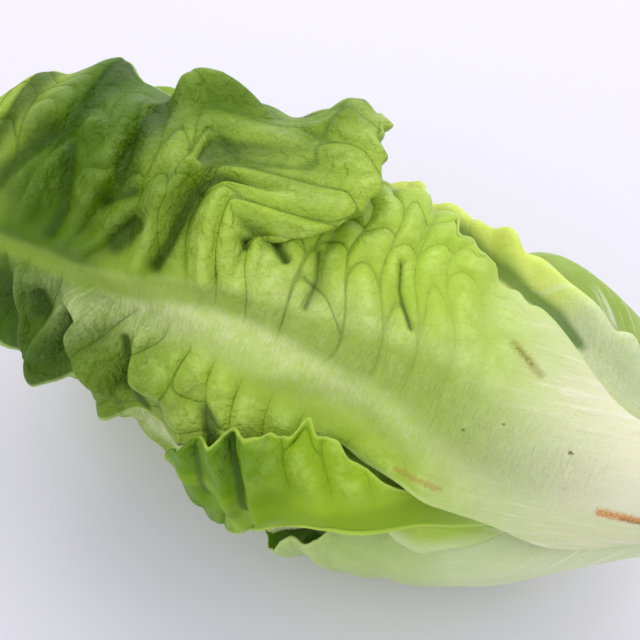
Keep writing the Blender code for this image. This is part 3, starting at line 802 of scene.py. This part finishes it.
TOP_MARKS = (
    ((6, 7.7), (21, 7.3), 1.4, ORANGE_SCAR, 0.95),
    ((8, 8.1), (17, 7.9), 0.5, DARK_SPECK, 0.5),
    ((48, 9.8), (56, 8.8), 0.8, RED_SCAR, 0.5),
    ((38, -15), (44, -20), 1.3, OLIVE_SCAR, 0.5),
    ((40, -16.6), (43, -19.2), 0.6, OLIVE_SCAR, 0.7),
    ((29, -2.1), (29.3, -2.1), 0.45, DARK_SPECK, 0.9),
    ((47, -1.9), (47.2, -1.9), 0.3, DARK_SPECK, 0.8),
    ((41, -4.4), (41.2, -4.4), 0.3, DARK_SPECK, 0.8),
)


def top_leaf_shape(s, arc, side, free, lift, hollow):
    """The leaf's own folds, the lobe that folds over towards the stem, with a reach that differs
    along its margin as its teeth, and beyond it the back margin, which flares up in waves: each
    a bell curve of its own station, half length and height."""
    flare = ramp(side, *FLARE_LIES) * (arc < 0) * ramp(s, *FLARE_FROM)
    lift = lift * (1 - FLARE_SMOOTH * flare)
    lift, lean, hollow = folded(s, arc, free, lift, hollow, TOP_RIDGES, TOP_GROOVES)
    for at, wide, height in FLARE_WAVES:
        raised = height * MM * np.exp(-(((s / MM - at) / wide) ** 2))
        lift = lift + raised * ramp(side, *FLARED_MARGIN) * (arc < 0)
    begins = FOLD_SLANT * np.maximum(s - FOLD_SLANT_FROM, 0)
    lobe = ramp(s, *FOLD_FOOT) * ramp(-arc - begins, *FOLD_BEGINS)
    height = FOLD_HEIGHT + FOLD_MARGIN_HEIGHT * ramp(-arc, *FOLD_RISES)
    reach = FOLD_REACH + FOLD_LOBE * np.exp(-(((-arc - FOLD_LOBE_AT) / FOLD_LOBE_WIDTH) ** 2))
    for at, wide, longer in LOBE_TEETH:
        reach = reach + longer * MM * np.exp(-(((arc / MM - at) / wide) ** 2))
    lean = lean + lobe * reach * (1 - ramp(s, *FOLD_LEAN_BACK))
    lobe = lobe * (1 - ramp(s, *FOLD_BACK))
    return lift + lobe * height, lean, hollow * (1 - lobe)


grow(
    leaf_top,
    leaf_finish(
        "top leaf", 1.0, BASE_GREEN, BLADE_GREEN, DEEP_GREEN, RIB_GREEN, VEIN_GREEN, RIM_GREEN, TOP_MARKS,
        rib_aside=1.0, green_from=(18.0, 58.0),
    ),
    top_leaf_shape, FOLD_ROWS_CROWD, FOLD_ROWS_AT,
)

# The front leaf, thin and bright green. Its free end is a lobe with a sharp pleat across it and a
# toothed upper margin.

leaf_front.notches = (
    (85, 2.2, 0.08), (88.5, 1.2, -0.05), (81.5, 1.2, -0.04), (78, 1.6, 0.03), (74.3, 1.2, -0.04),
    (72, 1.2, 0.13), (69.6, 1.0, -0.05), (66, 1.2, 0.04), (63.5, 1.2, -0.04), (59, 1.5, 0.04),
)
FRONT_RIDGES = (
    (2.7, 0.0, 2.0, (81.6, -14), (80, -8), (78.4, -3), (76.8, 1)),
    (2.2, 0.5, 1.8, (88.5, -12), (87, -6), (85, -1), (84, 4)),
    (1.8, 0.0, 2.4, (95.5, -6), (95, 0), (92, 6)),
    (1.2, 0.3, 2.0, (71, -14), (68, -8), (66, -2)),
    (1.2, 0.0, 2.4, (60, -8), (52, -3)),
)
FRONT_GROOVES = (
    (1.0, 1.5, (85, -13), (83.8, -9), (82.2, -4), (80.9, 1)),
    (0.7, 1.5, (92.5, -8), (91.7, -3), (90, 3)),
)
FRONT_PALE = seen(222, 230, 178)
FRONT_GREEN = seen(156, 190, 40)
FRONT_TIP_GREEN = seen(106, 146, 14)
FRONT_RIB_GREEN = seen(132, 168, 30)
FRONT_VEIN_GREEN = seen(78, 122, 18)
FRONT_RIM_GREEN = seen(186, 214, 90)


def front_leaf_shape(s, arc, side, free, lift, hollow):
    """The front leaf's own folds: three pleats across its lobe with grooves between them, and two
    low ridges nearer the stem."""
    return folded(s, arc, free, lift, hollow, FRONT_RIDGES, FRONT_GROOVES)


grow(
    leaf_front,
    leaf_finish(
        "front leaf", 0.0, FRONT_PALE, FRONT_GREEN, FRONT_TIP_GREEN, FRONT_RIB_GREEN, FRONT_VEIN_GREEN,
        FRONT_RIM_GREEN, green_from=(12.0, 30.0), flanks=0.0, rim_width=0.8, tip_from=(64.0, 88.0),
    ),
    front_leaf_shape,
)

# The leaves that show past the top leaf's margins: a rolled one at the shoulder, a smooth pale one
# down the back, and at the front a leaf whose pale thick margin shows under the front leaf.

leaf_shoulder = Leaf(
    "leaf_shoulder", -12, 0, 4, 158,
    (28, 22, 22, 36, 73, 88, 88, 83, 68, 30),
    (30, 34, 44, 50, 56, 60, 60, 56, 46, 22),
    MIDDLE_RIB, 0.5, 1.5, 1.5, (190, 110),
)
leaf_back = Leaf(
    "leaf_back", -85, 0, 4, 165,
    (42, 48, 54, 56, 57, 58, 56, 50, 40, 20),
    (40, 62, 70, 62, 50, 45, 45, 40, 30, 14),
    OUTER_RIB, 1.5, 2.0, 3.0, (200, 110),
)
leaf_front_low = Leaf(
    "leaf_front_low", 30, 0, 8, 140,
    (40, 40, 50, 56, 60, 64, 66, 60, 50, 25),
    (36, 37, 46, 53, 45, 40, 42, 40, 36, 22),
    MIDDLE_RIB, 0.5, 1.0, 1.0, (180, 110),
)
SHOULDER_RIDGES = (
    (
        5.0, -1.0, 3.0,
        (78, -34), (69, -29), (62, -22.5), (54, -17), (48, -12.8), (40, -7.8), (31, -3.2), (18, -0.2),
    ),
)
SHOULDER_GROOVES = (
    (1.0, 2.1, (76, -31), (66, -24), (59.5, -17.4), (52.5, -11.9), (45, -7), (38.7, -4), (34, 0)),
)
BACK_RIDGES = ((5.5, 0.0, 9.0, (44, 18), (34, 17), (26, 13), (18, 10)),)
ROLL_BUMPS = 0.24
ROLL_BUMP_LENGTH = 1.5 * MM
ROLL_BUMP_DRIFT = 4 * MM
ROLL_BUMP_ACROSS = 2 * MM
ROLL_ENDS = (80 * MM, 95 * MM)
YOUNG_GREEN = seen(190, 214, 84)
WHITE_GREEN = seen(214, 226, 178)
OUTER_TIP_GREEN = seen(132, 166, 42)
OUTER_SHADE = seen(66, 112, 12)
ROLL_GREEN = seen(216, 234, 104)
BACK_GREEN = seen(156, 182, 84)
FRONT_LOW_GREEN = seen(176, 204, 84)


def shoulder_shape(s, arc, side, free, lift, hollow):
    """A roll that stands up along the top leaf's back margin, a little way beyond it, with bumps
    that are a sine wave along it, moved on by a slower one."""
    bumps = np.sin(s / ROLL_BUMP_LENGTH + 1.5 * np.sin(s / ROLL_BUMP_DRIFT) + arc / ROLL_BUMP_ACROSS)
    bumpy = 1 + ROLL_BUMPS * bumps * (1 - ramp(s, *ROLL_ENDS))
    lift, lean, hollow = folded(s, arc, free, lift, hollow, SHOULDER_RIDGES, SHOULDER_GROOVES)
    return lift * bumpy, lean, hollow


def back_shape(s, arc, side, free, lift, hollow):
    """A smooth bulge beside the stem, where the leaf's thick base curves out."""
    return folded(s, arc, free, lift, hollow, BACK_RIDGES, ())


# Each leaf, its seed, its own shape, where it turns green, its rim's width and colour, and its green.
PAST_THE_TOP = (
    (leaf_shoulder, 2.0, shoulder_shape, (16.0, 40.0), 1.1, RIM_GREEN, ROLL_GREEN),
    (leaf_back, 3.0, back_shape, (2.0, 30.0), 1.1, RIM_GREEN, BACK_GREEN),
    (leaf_front_low, 4.0, plain, (14.0, 34.0), 3.4, WHITE_GREEN, FRONT_LOW_GREEN),
)
for leaf, seed, shape, green_from, rim_width, rim, middle in PAST_THE_TOP:
    grow(
        leaf,
        leaf_finish(
            leaf.name, seed, WHITE_GREEN, middle, OUTER_TIP_GREEN, WHITE_GREEN, VEIN_GREEN, rim,
            green_from=green_from, veins=0.5, rim_width=rim_width, shade=OUTER_SHADE,
        ),
        shape,
    )

# The two leaves underneath. The lowest one carries the head: it is flat where it lies on the
# surface, and its smooth pale blade shows along the front edge.

leaf_under = Leaf(
    "leaf_under", 150, 35, 4, 160,
    (50, 70, 84, 88, 60, 30, 25, 28, 25, 14),
    (45, 50, 60, 75, 82, 82, 73, 60, 50, 26),
    OUTER_RIB, 1.0, 1.0, 1.5, (200, 120),
)
leaf_back_low = Leaf(
    "leaf_back_low", 232, 0, 7, 160,
    (26, 44, 54, 64, 70, 74, 74, 66, 50, 22),
    (24, 40, 54, 64, 72, 76, 76, 66, 50, 22),
    MIDDLE_RIB, 1.0, 2.0, 2.0, (180, 110),
)

leaf_under.notches = ((67, 5, 0.16), (74.5, 4.5, 0.34), (81, 2, 0.12))
UNDER_GREEN = seen(176, 200, 118)
UNDER_VEIN_GREEN = seen(120, 156, 60)
UNDER_SHADE = seen(160, 186, 100)

for leaf, seed in ((leaf_under, 5.0), (leaf_back_low, 6.0)):
    grow(
        leaf,
        leaf_finish(
            leaf.name, seed, WHITE_GREEN, UNDER_GREEN, YOUNG_GREEN, WHITE_GREEN, UNDER_VEIN_GREEN,
            RIM_GREEN, veins=0.35, shade=UNDER_SHADE,
        ),
    )

# The heart's own six leaves, thin and tender, smaller and yellower the nearer they are to the
# middle. Each is the angle of its rib, where it begins and ends, its half widths, its rib, its
# pleats, its ruffle and its grid, from the outside in.

HEART = (
    (95, 11, 150, (30, 38, 50, 62, 72, 78, 80, 72, 52, 22), MIDDLE_RIB, 1.5, 1.0, (110, 80)),
    (338, 15, 150, (30, 38, 50, 62, 72, 78, 80, 72, 52, 22), MIDDLE_RIB, 1.5, 1.0, (110, 80)),
    (200, 19, 148, (32, 42, 54, 68, 80, 84, 86, 78, 56, 24), INNER_RIB, 1.2, 1.0, (110, 80)),
    (60, 23, 142, (34, 44, 58, 72, 84, 88, 90, 82, 60, 26), INNER_RIB, 1.2, 1.0, (110, 80)),
    (285, 27, 135, (36, 48, 62, 76, 88, 92, 94, 86, 62, 28), INNER_RIB, 0.8, 0.8, (100, 80)),
    (150, 31, 127, (38, 50, 64, 80, 92, 96, 98, 90, 66, 30), INNER_RIB, 1.0, 1.0, (90, 70)),
)
HEART_YELLOW = seen(214, 220, 120)
OUTSIDE_OF_HEART = seen(140, 172, 52)
HEART_WHITE = seen(226, 230, 186)
HEART_VEIN_GREEN = seen(150, 176, 70)
HEART_RIM = seen(226, 232, 160)

for number, (angle, base, tip, width, rib, pleat, ruffle, grid) in enumerate(HEART):
    leaf = Leaf(
        f"inner_leaf_{number + 1}", angle, 0, base, tip, width, width, rib, 0.5, pleat, ruffle, grid
    )
    grow(
        leaf,
        leaf_finish(
            leaf.name, 7.0 + number, HEART_WHITE, HEART_YELLOW if number else OUTSIDE_OF_HEART,
            YOUNG_GREEN if number else OUTSIDE_OF_HEART, HEART_WHITE, HEART_VEIN_GREEN, HEART_RIM,
        ),
    )

# The stem, a short solid core that all the leaves grew from. Its cut end stands out of their
# bases as a low disc, browned and a little sunk where it dried.

STEM_AT = np.array([0, 0, 0, 0.2, 0.8, 1.8, 3.2, 4.2, 4.8, 6.5, 9, 13, 18, 24, 31, 39, 47]) * MM
STEM_RADIUS = MM * np.array(
    [3, 8, 11.2, 12.2, 12.9, 13.2, 12.8, 11, 10.2, 9.8, 9.4, 8.8, 8, 7, 5.8, 4.4, 2.5]
)
STEM_SUNK = 0.7 * MM
STEM_GAP = 0.5 * MM
STEM_SIDES = 96
STEM_LEAST_RADIUS = 1.2 * MM
CUT_TAN = seen(212, 198, 152)
RING_BROWN = seen(184, 156, 108)
CUT_RIM_BROWN = seen(140, 98, 58)
PITH = seen(216, 204, 160)
STEM_WHITE = seen(226, 228, 190)
STEM_GREEN = seen(206, 214, 158)


def stem_material():
    """White-green flesh with fine lengthwise fibres, and a cut face of tan rings, drier and
    darker towards its rim."""
    material = bpy.data.materials.new("stem")
    material.use_nodes = True
    tree = material.node_tree
    tree.nodes.clear()
    start = Nodes(tree, None)
    spot = start.node("ShaderNodeTexCoord", {}, {}, 3)
    x = spot.node("ShaderNodeSeparateXYZ", {}, {0: spot}, 0)
    y = Nodes(tree, x.socket.node.outputs[1])
    z = Nodes(tree, x.socket.node.outputs[2])
    radius = (y * y + (z - AXIS_HEIGHT) * (z - AXIS_HEIGHT)) ** 0.5 / MM
    cloud = spot.node("ShaderNodeTexNoise", {}, {"Vector": spot, "Scale": 260.0, "Detail": 4.0})
    fibre = spot.node(
        "ShaderNodeTexNoise",
        {},
        {
            "Vector": spot.node("ShaderNodeMapping", {}, {"Vector": spot, "Scale": (0.12, 1, 1)}),
            "Scale": 1400.0,
            "Detail": 3.0,
        },
    )
    cut = x.step(CUT_END_X - 1.6 * MM, CUT_END_X - 0.5 * MM)
    ring = Nodes.sin(radius * 3.1 + cloud * 7) * 0.5 + 0.5
    face = (ring * 0.5 + cloud * 0.4).mix(CUT_TAN, RING_BROWN)
    face = (radius + cloud * 4).step(10.5, 14.0).mix(face, CUT_RIM_BROWN)
    face = (radius + cloud * 3).step(5.5, 3.5).mix(face, PITH)
    side = fibre.mix(STEM_WHITE, STEM_GREEN)
    colour = cut.mix(side, face)
    height = fibre * 0.5 + cloud * cut
    bump = height.node("ShaderNodeBump", {}, {"Height": height, "Strength": 0.6, "Distance": 0.5 * MM})
    inputs = {
        "Base Color": colour,
        "Roughness": cut * 0.25 + 0.38,
        "Subsurface Weight": 0.3,
        "Subsurface Radius": (1.0, 1.0, 0.5),
        "Subsurface Scale": 1.5 * MM,
        "Normal": bump,
    }
    shader = colour.node("ShaderNodeBsdfPrincipled", {"subsurface_method": "RANDOM_WALK"}, inputs)
    shader.node("ShaderNodeOutputMaterial", {}, {"Surface": shader})
    return material


def stem_form():
    """Rings of points along the axis, each kept clear of the leaf bases, closed by a point at
    each end; the cut face dips towards its middle."""
    rings = len(STEM_AT)
    step = 2 * math.pi / STEM_SIDES
    around, along = np.meshgrid(np.arange(STEM_SIDES) * step, STEM_AT)
    radius = np.repeat(STEM_RADIUS[:, None], STEM_SIDES, axis=1)
    for aside in (-8 * step, -4 * step, 0, 4 * step, 8 * step):
        for ahead in (-1.5 * MM, 0, 1.5 * MM):
            station = np.maximum(STEM_AT + ahead, 0)[:, None] + 0 * around
            top, _ = layer_top(len(leaves), around + aside, station)
            within = np.where(STEM_AT[:, None] < 3 * MM, radius, top - STEM_GAP)
            radius = np.maximum(np.minimum(radius, within), STEM_LEAST_RADIUS)
    face = along <= 0
    wobble = 0.25 * MM * np.sin(5 * around + 1) + 0.2 * MM * np.sin(9 * around)
    radius = radius + wobble * ramp(radius, 6 * MM, 12 * MM) * (along < 4 * MM)
    dip = STEM_SUNK * (1 - ramp(radius, 0, 11 * MM)) * face
    skin = place(radius, around, along + dip).reshape(-1, 3)
    ends = place(np.zeros(2), np.zeros(2), np.array([STEM_SUNK, STEM_AT[-1] + 0.6 * MM]))
    points = np.concatenate([skin, ends])
    index = np.arange(rings * STEM_SIDES).reshape(rings, STEM_SIDES)
    beside = np.roll(index, -1, axis=1)
    faces = np.stack(
        [index[:-1].ravel(), index[1:].ravel(), beside[1:].ravel(), beside[:-1].ravel()], 1
    ).tolist()
    near, far = len(skin), len(skin) + 1
    faces += np.stack([index[0], beside[0], np.full(STEM_SIDES, near)], 1).tolist()
    faces += np.stack([beside[-1], index[-1], np.full(STEM_SIDES, far)], 1).tolist()
    mesh = bpy.data.meshes.new("stem_grown")
    mesh.from_pydata(points.tolist(), [], faces)
    mesh.shade_smooth()
    made = bpy.data.objects.new("stem_grown", mesh)
    bpy.context.scene.collection.objects.link(made)
    return made


stem = stem_form()
stem.data.materials.append(stem_material())
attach(stem, "root")
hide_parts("stem")

# The setting: a plain pale surface, one broad light from behind and a weaker one from the front,
# a soft sky, and the camera at the photograph's angle, so close that both ends of the head leave
# the frame.

FLOOR_SIZE = 6.0
FLOOR_COLOUR = (0.81, 0.79, 0.88, 1)
FLOOR_ROUGHNESS = 0.7
SKY_COLOUR = (0.96, 0.96, 1.0, 1)
SKY_STRENGTH = 0.78
CAMERA_TURN = math.radians(23)
CAMERA_RISE = math.radians(52)
CAMERA_ANGLE = math.radians(35)
FRAME_WIDTH = 137 * MM
LOOK_AT = (-7.85 * MM, 6.5 * MM, 41.85 * MM)


def toward(turn, rise):
    """The direction from the object at this turn from the front and this rise, as a unit vector."""
    flat = math.cos(rise)
    return np.array([math.sin(turn) * flat, -math.cos(turn) * flat, math.sin(rise)])


def look(made, at):
    """Turns a light or a camera so that it looks at a point."""
    away = made.location - Vector(at)
    made.rotation_euler = away.to_track_quat("Z", "Y").to_euler()


def soft_light(name, turn, rise, distance, size, power, colour):
    """A square light that looks at the object from this turn and rise in degrees, and distance."""
    lamp = bpy.data.lights.new(name, "AREA")
    lamp.size = size
    lamp.energy = power
    lamp.color = colour
    made = bpy.data.objects.new(name, lamp)
    bpy.context.scene.collection.objects.link(made)
    made.location = toward(math.radians(turn), math.radians(rise)) * distance
    look(made, LOOK_AT)


reach = FLOOR_SIZE / 2
floor_mesh = bpy.data.meshes.new("floor")
floor_mesh.from_pydata(
    [(-reach, -reach, 0), (reach, -reach, 0), (reach, reach, 0), (-reach, reach, 0)],
    [],
    [(0, 1, 2, 3)],
)
floor = bpy.data.objects.new("floor", floor_mesh)
bpy.context.scene.collection.objects.link(floor)
floor_material = bpy.data.materials.new("floor")
floor_material.use_nodes = True
floor_shader = floor_material.node_tree.nodes["Principled BSDF"]
floor_shader.inputs["Base Color"].default_value = FLOOR_COLOUR
floor_shader.inputs["Roughness"].default_value = FLOOR_ROUGHNESS
floor_mesh.materials.append(floor_material)

soft_light("light from behind", 188, 44, 1.1, 1.5, 7.4, (1.0, 0.99, 0.96))
soft_light("light from the front", -20, 60, 1.2, 1.0, 2.0, (0.98, 0.98, 1.0))
world = bpy.data.worlds.new("sky")
world.use_nodes = True
world.node_tree.nodes["Background"].inputs["Color"].default_value = SKY_COLOUR
world.node_tree.nodes["Background"].inputs["Strength"].default_value = SKY_STRENGTH
bpy.context.scene.world = world

lens = bpy.data.cameras.new("camera")
lens.sensor_width = 36
lens.lens = lens.sensor_width / (2 * math.tan(CAMERA_ANGLE / 2))
lens.clip_start = 0.01
camera = bpy.data.objects.new("camera", lens)
bpy.context.scene.collection.objects.link(camera)
camera_distance = FRAME_WIDTH / (2 * math.tan(CAMERA_ANGLE / 2))
camera.location = np.array(LOOK_AT) + toward(CAMERA_TURN, CAMERA_RISE) * camera_distance
look(camera, LOOK_AT)
bpy.context.scene.camera = camera
bpy.context.scene.view_settings.view_transform = "Standard"
